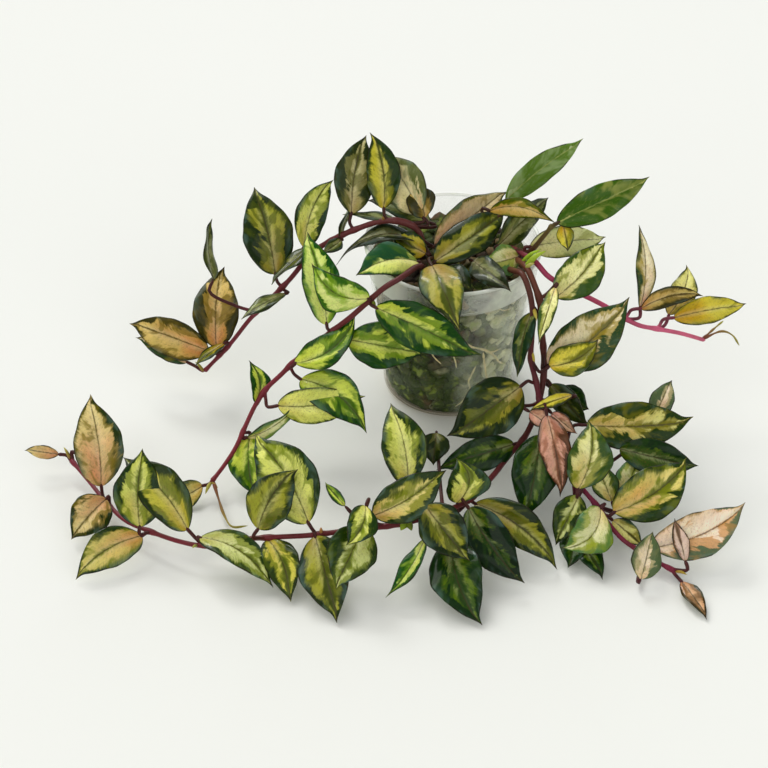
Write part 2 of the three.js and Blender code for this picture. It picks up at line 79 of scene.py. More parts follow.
# The path of each stem: it starts inside the mix, leaves it at the second point, and trails away.
STEMS = {
    "back_left": [
        (-18, 2, 80), (-18, 1, 98), (-22, 2, 110), (-32, 2, 115), (-43, 3, 114), (-58, 3, 108),
        (-70, 2, 102), (-83, -1, 94), (-96, -8, 80), (-108, -9, 66), (-121, -8, 50),
        (-132, -12, 36), (-141, -15, 26), (-150, -20, 18)],
    "front_left": [
        (-17, -18, 80), (-17, -19, 95), (-22, -30, 105), (-31, -46, 109), (-40, -50, 105),
        (-47, -49, 97), (-58, -51, 86), (-69, -52, 76), (-81, -54, 66), (-92, -58, 57),
        (-100, -62, 50), (-108, -67, 44), (-114, -73, 37), (-120, -83, 28), (-125, -93, 21),
        (-131, -101, 15), (-138, -110, 10)],
    "front": [
        (30, -6, 80), (31, -7, 94), (37, -24, 106), (41, -36, 109), (45, -46, 104), (48, -51, 97),
        (49, -54, 86), (51, -59, 72), (52, -66, 56), (48, -80, 41), (41, -92, 31), (32, -102, 26),
        (21, -120, 25), (8, -139, 26), (-6, -151, 28), (-22, -158, 28), (-39, -162, 27),
        (-57, -163, 25), (-77, -164, 22), (-98, -163, 19), (-117, -162, 16), (-137, -164, 13),
        (-151, -160, 12), (-169, -151, 11), (-183, -142, 10), (-197, -125, 9), (-209, -108, 9),
        (-221, -93, 11)],
    "right": [
        (25, -16, 80), (27, -17, 94), (34, -34, 106), (38, -42, 109), (42, -50, 102), (44, -56, 91),
        (44, -60, 78), (44, -65, 66), (47, -71, 56), (49, -80, 49), (52, -94, 38), (60, -113, 31),
        (70, -127, 26), (79, -138, 21), (85, -148, 17), (93, -157, 13), (103, -162, 9),
        (112, -168, 7), (120, -172, 5)],
    "back_right": [
        (28, 6, 80), (28, 5, 94), (37, -14, 106), (46, -31, 110), (53, -39, 106), (66, -43, 100),
        (77, -43, 94), (88, -44, 88), (97, -45, 82), (107, -46, 77), (117, -45, 74), (132, -44, 70),
        (147, -44, 65)],
    "upright": [
        (33, -6, 101), (37, -14, 106), (43, -23, 112), (49, -28, 125), (54, -31, 136)],
    "crown": [
        (-8, -4, 80), (-8, -4, 97), (-3, -3, 104), (8, 0, 107), (19, 5, 110), (29, 12, 115)],
}

# Thin bare shoots at the stems' ends: stem, radius, path.
SHOOTS = [
    ("front_left", 0.9, [
        (-137, -109, 10), (-133, -121, 7), (-129, -132, 5), (-124, -140, 4), (-115, -139, 4)]),
    ("back_right", 0.8, [(145, -44, 66), (153, -37, 69), (158, -34, 72)]),
    ("back_right", 0.8, [(145, -44, 66), (157, -39, 68), (163, -40, 66), (167, -45, 62)]),
]
SHOOT_COLOURS = [0x7E3A32, 0x96783C, 0xB2B048]

# Small buds and sprouts: stem, foot, tip, greatest radius, and colours from foot to tip.
BUDS = [
    ("back_left", (-150, -20, 18), (-155, -19, 25), 1.0, [0x966E32, 0xC4C84A]),
    ("back_left", (-41, 3, 115), (-42, 1, 118.5), 0.9, [0xB0783C, 0xCEAA60]),
    ("front_left", (-138, -110, 10), (-141, -117, 7), 1.1, [0xA0963C, 0xD6CE60]),
    ("front_left", (-138, -110, 10), (-134, -113, 8), 0.8, [0xA0783C, 0xCEBE5A]),
    ("front_left", (-48, -49, 96), (-45, -50.5, 91), 1.3, [0x6E8224, 0xB0BE42]),
    ("front", (-221, -93, 11), (-225, -89, 17), 1.0, [0x966E3C, 0xCAC454]),
    ("front", (-141, -164, 13), (-143, -168, 15), 0.9, [0x788232, 0xBEBE5A]),
    ("front", (-73, -164, 23), (-73, -164, 28), 1.0, [0xB0783C, 0xD29654]),
    ("front", (-27, -160, 28), (-30, -165, 27), 2.1, [0x547414, 0x96AC2C]),
    ("front", (-26, -160, 28), (-24, -165, 27), 1.9, [0x546E14, 0x7E9224]),
    ("front", (40, -34, 109), (51.5, -31.5, 118.5), 1.7, [0x96BE28, 0xCEEC46]),
    ("front", (38, -29, 108), (49, -29.5, 118), 1.2, [0x8CB428, 0xBEE23C]),
    ("front", (40, -36, 109.5), (45, -36, 113), 1.2, [0xAAB446, 0xE2DC78]),
    ("right", (44, -54, 95), (46, -60, 90), 1.1, [0xBEA03C, 0xE6D660]),
    ("right", (44, -63, 71), (46, -67, 62), 1.2, [0xD6BE3C, 0xECDC5A]),
    ("right", (120, -172, 5), (126, -175, 5.5), 0.9, [0xAA8232, 0xD6BE46]),
]


def read(word):
    """A word of a table: a #RRGGBB colour, a whole number or a name."""
    if word[0] == "#":
        return int(word[1:], 16)
    return int(word) if word[-1].isdigit() else word


def table(text):
    """The rows of a plain table, a line for each."""
    return [[read(word) for word in line.split()] for line in text.strip().split("\n")]


# Each leaf: its stem, how far along the stem (from the mix) its stalk leaves, the blade's base
# x y z, heading, rise and roll in degrees, length, width, arch, sideways sweep, and colouring.
# Where its own marking is known, three shares in percent follow: the margin on the left and the
# right half, and the flame. A margin share over 100 makes that half all margin, with a pale rib.
LEAVES = table("""
crown 4 -11 -16 99 36 16 24 55 24 5 -2 moss 30 40 24
crown 9 -11 -4 102 42 14 31 60 22 5 -1 dustrose 12 10 6
crown 33 21 8 119 -19 0 86 40 13 4 9 orange 40 12 2
back_right 9 26 -6 104 45 18 65 46 18 4 3 grey
front 15 37 -20 106 -160 -4 -53 22 19 2 0 mint 46 20 2
right 2 11 -19 102 -60 7 26 42 16 3 -1 slate 40 40 20
crown 3 -13 -27 104 -72 -14 14 49 25 8 0 straw 8 14 36
crown 2 -6 -18 96 -54 -2 14 28 18 2 -1 dark
front_left 9 -21 -22 103 -146 8 -25 43 23 3 -4 bluelime 5 78 0
back_left 8 -16 -9 100 149 10 -50 24 16 2 0 olive
back_left 6 -14 0 99 -176 -11 0 56 15 14 0 slate 42 40 10
back_left 16 -14 12 108 158 8 -18 40 17 4 0 grey
back_left 18 -17 6 115 130 43 -23 22 18 2 -2 bronze 40 34 0
back_left 20 -20 7 117 131 33 -50 43 26 4 -4 chalk 12 30 4
crown 44 31 21 118 31 24 54 60 17 5 3 silvergreen 150 150 0
back_left 27 -41 6 121 103 45 -11 46 20 4 -3 olive 16 44 12
back_left 52 -60 8 116 77 45 22 48 24 4 3 dusty 42 36 14
back_left 60 -67 1 104 49 32 105 38 14 -5 0 grey
back_left 25 -33 5 113 166 0 10 33 11 0 0 grey
back_left 82 -88 0 97 62 39 46 45 20 4 6 lime 16 30 10
back_left 108 -105 -5 81 111 42 -14 55 30 5 -2 moss 50 30 26
back_left 77 -83 0 98 -133 -14 20 36 13 0 0 dark
back_left 67 -66 1 102 -129 -1 -23 17 9 1 1 grey
back_left 109 -99 -12 72 -140 -6 4 33 12 1 0 grey
back_left 134 -143 3 71 96 41 66 38 15 -3 0 grey
back_left 165 -142 -14 32 87 41 8 51 28 5 2 bronze 34 24 6
back_left 171 -147 -14 30 164 12 -67 52 25 5 -2 bronze 14 30 6
back_left 186 -160 -17 23 158 15 -44 36 14 3 -2 peach
back_left 164 -137 -15 36 -139 -13 17 23 12 0 0 olive
front_left 88 -73 -51 79 109 40 -13 56 22 5 -3 brightlime 10 34 16
front_left 59 -49 -51 98 169 32 -68 38 22 3 7 springlime 14 26 26
front_left 59 -45 -54 94 -21 -16 59 66 26 6 2 greenlime 36 54 16
front_left 88 -61 -53 70 -2 -11 52 45 27 4 0 greenlime 40 30 8
front_left 120 -91 -62 59 27 29 21 45 20 4 -9 greenlime 26 24 30
front_left 121 -88 -64 49 -33 -21 39 50 25 5 6 greenlime 14 40 30
front_left 142 -101 -76 39 5 7 60 51 22 5 -2 lime 3 7 10
front_left 143 -114 -72 38 106 40 22 25 13 2 -4 greenlime
front_left 169 -119 -87 24 24 26 96 37 12 4 0 mint 20 30 10
front_left 169 -117 -85 23 -81 -33 12 37 23 3 -2 greenlime
front_left 205 -143 -111 8 -165 -8 -40 26 16 2 3 cream 10 16 6
front 462 -228 -91 13 175 6 -46 20 8 2 0 pink 3 5 2
front 461 -218 -92 15 -20 -7 52 21 8 2 0 dusk
front 422 -199 -120 15 104 43 -1 53 28 5 -2 pink 5 26 2
front 418 -195 -129 14 -130 -21 -36 30 23 3 -1 pink 30 20 8
front 383 -172 -156 12 -144 -11 -41 43 22 4 -4 buff 10 20 10
front 384 -173 -154 17 87 48 10 43 27 4 2 lime 26 38 14
front 349 -146 -158 19 139 23 -28 56 25 5 -4 butter 18 34 8
front 348 -139 -164 19 -31 -16 4 49 21 4 5 sage 38 20 22
front 314 -102 -163 17 -68 -23 22 38 20 3 4 butter 30 30 40
front 285 -76 -166 23 -72 -25 26 50 28 4 1 moss 46 20 34
front 268 -50 -168 32 -117 -27 -20 37 27 3 0 sage 22 42 26
front 287 -80 -160 27 128 26 -24 59 32 5 -4 lime 16 24 16
front 316 -107 -165 27 48 39 32 39 25 4 3 moss 14 28 20
front 266 -49 -166 46 -117 -27 -20 24 17 2 3 lime 36 30 40
front 266 -60 -166 46 136 24 -31 17 6 1 0 greenlime
front 249 -45 -161 34 27 22 40 47 24 4 -3 buff 36 30 10
front 243 -26 -144 41 106 32 -13 48 25 4 -3 lime 20 36 0
front 238 -17 -159 40 -46 -28 33 38 25 3 0 moss 34 36 20
front 196 1 -145 29 93 50 -5 25 24 2 -7 lime 30 34 30
front 214 -2 -164 20 -73 -20 16 52 29 4 -4 darkgreen 34 40 30
front 198 7 -150 30 -49 -28 31 51 25 5 -2 deepgreen
front 194 11 -140 24 -32 -21 40 58 22 5 5 moss 30 28 14
front 229 -17 -167 22 -126 -24 6 38 11 3 4 brightlime 28 50 20
front 217 -10 -102 42 -98 -32 -4 19 17 2 0 dark
right 96 38 -78 57 -147 -19 -38 52 32 5 0 moss 36 50 30
front 141 35 -96 29 -160 -5 -44 48 20 4 0 darkgreen
front 65 44 -54 92 -106 -40 12 39 12 3 -1 blue
front 55 56 -51 107 -111 -35 8 35 10 3 1 creamgreen 16 30 10
front 54 57 -47 97 43 30 32 44 24 4 -3 creamgreen 18 44 14
front 84 54 -67 64 21 36 36 60 31 5 -5 peach 20 44 20
right 82 54 -72 67 10 29 29 32 20 3 -5 yellowgreen 20 30 34
front 102 56 -70 52 -43 -27 60 32 16 3 1 dark
front 96 60 -68 46 -17 -27 51 22 17 2 0 darkgreen
right 107 67 -83 55 -161 -9 -15 27 8 2 1 yellowgreen
right 108 43 -91 49 -35 -15 43 15 10 1 0 rose
right 111 52 -96 51 -77 -37 16 47 18 4 1 rose 34 10 24
right 110 55 -93 50 -41 -16 41 19 9 2 0 rose
right 164 68 -136 32 77 44 3 39 25 3 -4 creamgreen 26 44 14
right 117 49 -99 39 -104 -38 -5 50 27 5 1 darkgreen
right 145 75 -95 43 5 0 49 62 28 5 -2 cream 40 50 20
right 163 114 -88 42 60 32 14 26 14 2 0 bluepink 50 26 6
right 163 93 -108 37 -8 -10 50 46 20 4 0 darkgreen 40 30 10
right 184 88 -142 20 29 21 35 52 29 5 -4 buff 22 36 30
right 178 94 -129 17 62 31 12 30 17 3 0 mint
right 178 88 -132 19 114 34 -5 25 16 2 1 creamgreen
right 180 80 -144 25 -140 -24 -29 32 24 3 7 mint 30 22 4
right 164 69 -134 25 -122 -33 -17 31 18 3 0 sage 42 40 20
right 159 68 -146 7 -103 -6 -3 25 16 2 0 darkgreen
right 163 70 -152 6 -66 -5 12 27 13 2 0 darkgreen
right 185 88 -142 14 -33 -25 36 22 12 2 0 cream
right 213 108 -161 12 21 15 37 58 25 5 -5 mauve 5 40 6
right 233 125 -170 11 109 39 -13 24 9 2 0 lilac
right 216 100 -180 7 72 36 34 27 19 2 1 bluepink 20 56 4
right 235 123 -178 3 -68 -1 8 28 10 1 0 dusk
back_right 108 107 -41 86 92 43 19 49 12 4 -2 peach 34 10 4
back_right 108 107 -43 87 8 10 60 37 12 3 4 bronze
back_right 129 125 -37 78 64 32 12 33 16 3 -3 cream 8 12 4
back_right 129 127 -41 79 9 6 50 44 16 4 1 yellowgreen 5 8 2
back_right 33 43 -20 113 10 0 60 46 19 4 2 palesage 2 5 1
upright 40 56 -31 137 22 16 48 60 20 5 0 green 150 150 0
upright 39 60 -30 135 -79 -35 16 16 10 1 0 yellowgreen
""")

VINES = {
    "vine_back_left": ["back_left"],
    "vine_front_left": ["front_left"],
    "vine_front_right": ["front", "right"],
    "vine_back_right": ["back_right", "upright"],
    "crown_shoot": ["crown"],
}

# Each colouring: heart, blush near the base, middle green and margin; then, in percent, the
# margin's share on the left and right half, the green flame along the midrib, and patches.
COLOURINGS = {name: row for name, *row in table("""
pink #FFEAAC #E8A680 #7E7022 #283412 13 24 10 34
cream #FFF8A6 #E2BA6E #8A8422 #2A3C16 16 26 22 35
lime #F6F893 #D6C46E #7C8A1E #22340E 20 28 22 30
brightlime #F4FF9E #E2E282 #7AA01E #224C12 22 26 20 30
bluelime #E6EC8C #CEC882 #5C782C #284A30 12 70 0 20
greenlime #DEE874 #CED060 #5C7E0E #1E3E08 26 36 28 40
olive #CEC45E #B08842 #5A620E #223208 24 32 26 36
bronze #E8CC86 #CC8A5C #786620 #383612 18 26 14 38
dusty #CEC692 #B6885C #646632 #2C361C 30 36 22 40
chalk #FFF0BA #E49C6E #BEBE92 #687046 16 26 16 30
orange #EACE8C #D8A45C #8E8A32 #546220 14 40 5 25
grey #969C6C #888458 #5C6438 #2C361A 30 36 20 35
sage #DCE19E #B0AA60 #768234 #283810 24 30 20 35
mint #FFFFD0 #ECD696 #98A242 #5C7C4A 26 34 14 35
butter #E3D871 #BEA654 #606E16 #28340A 10 16 34 22
dark #747842 #6C6236 #444C26 #242E14 50 56 40 50
darkgreen #62781A #546414 #324C08 #1B2F05 42 50 26 45
green #D6D08C #B0B464 #B6B670 #426016 54 60 0 45
silvergreen #DEE4BE #BECC96 #B8CA96 #64803E 50 50 0 40
buff #F4E294 #D6A068 #7C8424 #26360E 20 30 14 34
mauve #FFEED8 #B07062 #C49260 #606C54 10 34 8 20
deepgreen #607614 #505C10 #263C06 #0E2204 46 52 26 45
moss #A8A654 #967E48 #545C12 #1E2A08 26 36 26 38
straw #BCB466 #A28658 #5C681A #28320C 12 18 34 26
springlime #F8FFAA #ECF08E #96BA34 #3C6416 20 20 12 28
palesage #E6E8B0 #D2CA92 #A4A868 #70783E 10 14 6 35
slate #7A7E5E #6A6648 #484E34 #22281A 26 30 20 35
dustrose #CEBA92 #BE9076 #807246 #4E542C 12 8 4 34
dusk #ECBE96 #B0725A #684C2A #382E1A 24 28 10 40
blue #7A844E #706832 #425226 #1E301E 44 50 20 40
creamgreen #FFFCB9 #E2C47C #848A2C #3A502A 22 40 16 35
peach #FFF2D0 #EEBAA0 #A08E46 #32462C 10 40 12 28
yellowgreen #EFE16D #CEA042 #868414 #424C0A 10 20 20 35
rose #E4B4A0 #CE9084 #966854 #543A2C 10 14 6 45
lilac #ECD4C4 #CEA898 #967664 #544634 18 22 30 25
bluepink #FAE4C8 #E8BE96 #969268 #546246 34 46 10 30
""")}

# Skin colours along each stem, from the mix to its end.
SKINS = {
    "back_left": [0x603832, 0x703234, 0x762C36, 0x842E3E],
    "front_left": [0x50302E, 0x642A2C, 0x7E2A36, 0x882E38],
    "front": [0x7A4C34, 0x5A2C26, 0x622428, 0x6C242A, 0x7C2832, 0x842E3E],
    "right": [0x744832, 0x562E28, 0x6C2834, 0x76243E, 0x842840],
    "back_right": [0x6A443A, 0x743438, 0xB03E62, 0xD6547A, 0xE2688A, 0xE4708E],
    "upright": [0x563A2E, 0x462A22, 0x685C2C],
    "crown": [0x54382E, 0x604632, 0x644A34],
}

# Bark chips, from brown to grey green. Only the first five lie on top.
BARKS = [0x76583A, 0x543E2A, 0x9C7C54, 0x382C20, 0xBEA47A, 0x605C3C, 0x969670]
TOP_BARKS = BARKS[:5]

# Roots that show on the front of the wall: greatest radius, then angle round the pot and height.
WALL_ROOTS = [
    (0.75, [(-89, 68), (-82, 62), (-76, 58), (-69, 55), (-63, 52), (-58, 49), (-47, 48)]),
    (0.62, [(-60, 50), (-52, 43), (-47, 37), (-41, 33)]),
    (0.72, [(-65, 51), (-63, 43), (-61, 36), (-59, 30), (-57, 25), (-61, 21), (-64, 19)]),
    (0.6, [
        (-70, 41), (-73, 34), (-75, 29), (-73, 23), (-72, 19), (-75, 16), (-78, 13), (-85, 8)]),
    (0.45, [(-93, 56), (-89, 51), (-87, 46), (-86, 41)]),
    (0.45, [(-57, 25), (-53, 18), (-54, 11)]),
    (0.5, [(-64, 19), (-69, 15), (-74, 11), (-79, 6)]),
    (0.45, [(-60, 86), (-52, 80), (-44, 78)]),
    (0.4, [(-107, 54), (-104, 49), (-98, 44)]),
]

# What each point of a leaf carries: its place in the blade, its place in millimetres, its
# marking, and its face; and the four colours of its colouring.
MARKS = ["place", "grain", "cut", "face"]
PAINTS = ["heart", "blush", "middle", "margin"]


def linear(colour):
    """A 0xRRGGBB colour as light."""
    shares = [c / 255 for c in colour.to_bytes(3, "big")]
    return [c / 12.92 if c < 0.04045 else ((c + 0.055) / 1.055) ** 2.4 for c in shares] + [1.0]


def pigment(colour, shade):
    """A leaf's colour under its wax, whose haze adds light: deeper and purer than what is seen."""
    light = [c * shade for c in linear(colour)[:3]]
    grey = sum(light) / 3
    pure = 1.4 - 0.3 * grey ** 0.5
    return [max(0.0015, (grey + (c - grey) * pure) * 1.03 - 0.006) for c in light] + [1.0]


def blend(a, b, t):
    return [p + (q - p) * t for p, q in zip(a, b)]


def graded(colours):
    """A colour for each share of a length, from the first colour to the last."""
    steps = [linear(colour) for colour in colours]

    def colour_at(share):
        place = share * (len(steps) - 1)
        low = min(int(place), len(steps) - 2)
        return blend(steps[low], steps[low + 1], place - low)

    return colour_at


def ease(low, high, x):
    t = min(1.0, max(0.0, (x - low) / (high - low)))
    return t * t * (3 - 2 * t)


# -------- paths
class Path:
    """A smooth curve through points, measured by length."""

    def __init__(self, points, per_span=20):
        p = [Vector(q) for q in points]
        p = [2 * p[0] - p[1], *p, 2 * p[-1] - p[-2]]
        self.points = []
        for a, b, c, d in zip(p, p[1:], p[2:], p[3:]):
            ta, tb, tc = (max(1e-3, (w - v).length) ** 0.5 for v, w in ((a, b), (b, c), (c, d)))
            leave = tb * ((b - a) / ta - (c - a) / (ta + tb) + (c - b) / tb)
            reach = tb * ((c - b) / tb - (d - b) / (tb + tc) + (d - c) / tc)
            for k in range(per_span):
                t = k / per_span
                self.points.append(
                    b * (2 * t**3 - 3 * t**2 + 1) + leave * (t**3 - 2 * t**2 + t)
                    + c * (3 * t**2 - 2 * t**3) + reach * (t**3 - t**2))
        self.points.append(p[-2])
        gaps = ((b - a).length for a, b in zip(self.points, self.points[1:]))
        self.marks = [0.0, *accumulate(gaps)]
        self.length = self.marks[-1]

    def at(self, share):
        want = min(1.0, max(0.0, share)) * self.length
        low = min(bisect_right(self.marks, want), len(self.marks) - 1) - 1
        gap = self.marks[low + 1] - self.marks[low]
        t = (want - self.marks[low]) / gap if gap else 0
        return self.points[low].lerp(self.points[low + 1], t)


paths = {name: Path(points) for name, points in STEMS.items()}


def share_of(stem, length):
    """How far along a stem a length from the mix is, as a share of the whole."""
    inside, exit_point = (Vector(point) for point in STEMS[stem][:2])
    return min(0.995, (length + (inside - exit_point).length) / paths[stem].length)


# -------- mesh helpers
def paint_layer(bm, name="heart"):
    """A colour at each point, which the materials read by its name."""
    return bm.verts.layers.float_color.new(name)


def mesh_of(bm, name="pattern"):
    """A bmesh kept as a mesh. A pattern can be laid down many times."""
    mesh = bpy.data.meshes.new(name)
    bm.to_mesh(mesh)
    bm.free()
    return mesh


def finished(bm, name, material, node=None):
    """A bmesh in millimetres as a finished piece of the plant."""
    bmesh.ops.scale(bm, vec=(MM, MM, MM), verts=bm.verts)
    mesh = mesh_of(bm, name)
    mesh.polygons.foreach_set("use_smooth", [True] * len(mesh.polygons))
    piece = bpy.data.objects.new(name, mesh)
    scene.collection.objects.link(piece)
    mesh.materials.append(material)
    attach(piece, "root")
    if node:
        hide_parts(node)
    return piece


def lay_pattern(bm, pattern):
    """Adds a pattern's points to a bmesh, and returns them."""
    first = len(bm.verts)
    bm.from_mesh(pattern)
    bm.verts.ensure_lookup_table()
    return bm.verts[first:]


def tube_pattern(around, along):
    """A closed tube of radius 1 along z, from 0 to 1, drawn to a point at both ends."""
    bm = bmesh.new()
    bmesh.ops.create_grid(bm, x_segments=around, y_segments=along, size=0.5)
    for v in bm.verts:
        turn, share = v.co.x * 2 * math.pi, v.co.y + 0.5
        v.co = (math.cos(turn), math.sin(turn), share)
    bmesh.ops.remove_doubles(bm, verts=bm.verts, dist=1e-5)
    for end in (0, 1):
        ring = [v for v in bm.verts if abs(v.co.z - end) < 1e-5]
        bmesh.ops.pointmerge(bm, verts=ring, merge_co=(0, 0, end))
    bmesh.ops.recalc_face_normals(bm, faces=bm.faces)
    return mesh_of(bm)


def lay_tube(bm, pattern, path, along, radius, colour, layer):
    """Lays a tube along a path. radius and colour take the share of its length."""
    rings = []
    side = None
    for i in range(along + 1):
        share = i / along
        way = (path.at(share + 0.5 / along) - path.at(share - 0.5 / along)).normalized()
        side = side or way.orthogonal().normalized()
        side = (side - way * side.dot(way)).normalized()
        rings.append((path.at(share), side, way.cross(side), radius(share), colour(share)))
    for v in lay_pattern(bm, pattern):
        here, across, over, reach, shade = rings[round(v.co.z * along)]
        v.co = here + (across * v.co.x + over * v.co.y) * reach
        v[layer] = shade


def blade_pattern(across, along):
    """Both faces of a blade: x across, -1 to 1, y along, 0 to 1, and z 1 on top, -1 below."""
    bm = bmesh.new()
    bmesh.ops.create_grid(bm, x_segments=across, y_segments=along, size=1)
    for v in bm.verts:
        u = math.sin(v.co.x * math.pi / 2) * 0.45 + v.co.x * 0.55
        s = 0.5 + 0.5 * (math.sin(v.co.y * math.pi / 2) * 0.7 + v.co.y * 0.3)
        v.co = (u, s, 1)
    for end in (0, 1):
        row = [v for v in bm.verts if abs(v.co.y - end) < 1e-4]
        bmesh.ops.pointmerge(bm, verts=row, merge_co=(0, end, 1))
    under = bmesh.ops.duplicate(bm, geom=bm.verts[:] + bm.edges[:] + bm.faces[:])["geom"]
    for v in under:
        if isinstance(v, bmesh.types.BMVert):
            v.co.z = -1
    lower = [face for face in under if isinstance(face, bmesh.types.BMFace)]
    bmesh.ops.reverse_faces(bm, faces=lower)
    bmesh.ops.bridge_loops(bm, edges=[e for e in bm.edges if e.is_boundary])
    bmesh.ops.triangulate(bm, faces=[f for f in bm.faces if len(f.verts) > 4])
    return mesh_of(bm)


BLADE = blade_pattern(16, 30)


def outline(s):
    """Half the blade's width as a share of its greatest, from base (0) to tip (1)."""
    if s < WIDEST_AT:
        return (1 - (1 - s / WIDEST_AT) ** 2) ** 0.6
    return max(0.0, 1 - ((s - WIDEST_AT) / (1 - WIDEST_AT)) ** 1.8) ** 1.2


def blade_frame(heading, rise, roll):
    """The blade's own directions: along, to its left, and up from its face."""
    h, r, t = (math.radians(a) for a in (heading, rise, roll))
    along = Vector((math.cos(r) * math.cos(h), math.cos(r) * math.sin(h), math.sin(r)))
    level = Vector((0, 0, 1)).cross(along).normalized()
    above = along.cross(level)
    left = level * math.cos(t) + above * math.sin(t)
    return along, left, along.cross(left)


def lay_blade(bm, vectors, paints, row, number):
    """One waxy blade: arched, folded along a sunk midrib, waved at its edges, with a drip tip."""
    _, _, x, y, z, *turns, length, width, arch, sweep, name = row[:13]
    along, left, up = blade_frame(*turns)
    base = Vector((x, y, z))
    phase = number * 2.4
    own = random.Random(number * 7 + 3)
    *tones, cut_left, cut_right, flame, patches = COLOURINGS[name]
    if own.random() < 0.45:
        cut_left, cut_right = cut_right, cut_left
    cut = [share / 100 for share in row[13:] or (cut_left, cut_right, flame)]
    lean = 0.5 + 0.5 * math.sin(number * 12.9)
    shade = own.uniform(0.86, 1.1)
    colours = [pigment(tone, shade) for tone in tones]
    hook_up = own.uniform(-1.6, 0.8) * length / 50
    hook_side = own.choice((-1, 1)) * own.uniform(0.6, 1.8) * length / 50
    ripple = own.uniform(0, 6)
    fold = BLADE_FOLD * own.uniform(0.8, 2.0)
    waves = BLADE_WAVE * own.uniform(0.7, 1.8)
    for v in lay_pattern(bm, BLADE):
        u, s, face = v.co
        side = 1 if u > 0 else -1
        tip = ease(0.8, 0.97, s)
        half = outline(s) * width / 2 * (1 - 0.3 * tip * (1 - ease(0.97, 1, s)))
        half *= 1 + 0.018 * math.sin(17 * s + ripple + side) + 0.012 * math.sin(31 * s + 2 * ripple)
        bell = 4 * s * (1 - s)
        hook = ease(0.86, 1.0, s)
        spine = base + along * (s * length) + up * (bell * arch + hook_up * hook)
        spine += left * (bell * sweep + hook_side * hook)
        wave = waves * length * math.sin(9 * s + phase + side)
        open_s = min(1.0, outline(s) * 1.6)
        lift = abs(u) * fold * half + wave * u * u * open_s
        lift += 0.075 * half * math.sin(math.pi * abs(u))
        rib = math.exp(-((u * half / 0.8) ** 2)) * open_s
        near_edge = max(0.0, (abs(u) - 0.9) / 0.1)
        thick = BLADE_EDGE + (BLADE_MID - BLADE_EDGE) * (1 - u * u) * open_s
        thick *= (1 - 0.6 * near_edge**2) * (0.55 + 0.45 * open_s)
        lift += face * thick / 2
        lift -= (0.3 if face > 0 else 0.15) * rib
        v.co = spine + left * (u * half) + up * lift
        marks = (
            (u, s, half * (1 - abs(u))), (u * half, s * length, number * 1.37), cut,
            (0 if face > 0 else 1, patches / 100, lean))
        for layer, value in zip(vectors + paints, (*marks, *colours)):
            v[layer] = value


def stalk_path(stem, length, x, y, z, heading, rise, roll, blade, _, arch):
    """The stalk bends out of the stem and runs into the blade's base along its midline."""
    along, _, up = blade_frame(heading, rise, roll)
    foot = paths[stem].at(share_of(stem, length))
    base = Vector((x, y, z))
    gap = (base - foot).length
    back = max(0.0, -along.dot(base - foot) / gap)
    inside = base + along * (0.04 * blade) + up * (0.1 * arch)
    lead = base - along * min(7, gap * 0.5) * (1 - 0.8 * back) - up * (0.1 * gap)
    out = foot.lerp(lead, 0.45)
    out.z -= min(2, gap * 0.08)
    return Path([foot, out, lead, base, inside], 8)


# -------- materials
class Value:
    """A node's output, which adds, subtracts and multiplies like a number."""

    def __init__(self, wiring, socket):
        self.wiring, self.socket = wiring, socket

    def __add__(self, other):
        return self.wiring.sum("ADD", self, other)

    def __sub__(self, other):
        return self.wiring.sum("SUBTRACT", self, other)

    def __rsub__(self, other):
        return self.wiring.sum("SUBTRACT", other, self)

    def __mul__(self, other):
        return self.wiring.sum("MULTIPLY", self, other)

    def __pow__(self, other):
        return self.wiring.sum("POWER", self, other)

    def __abs__(self):
        return self.wiring.sum("ABSOLUTE", self)


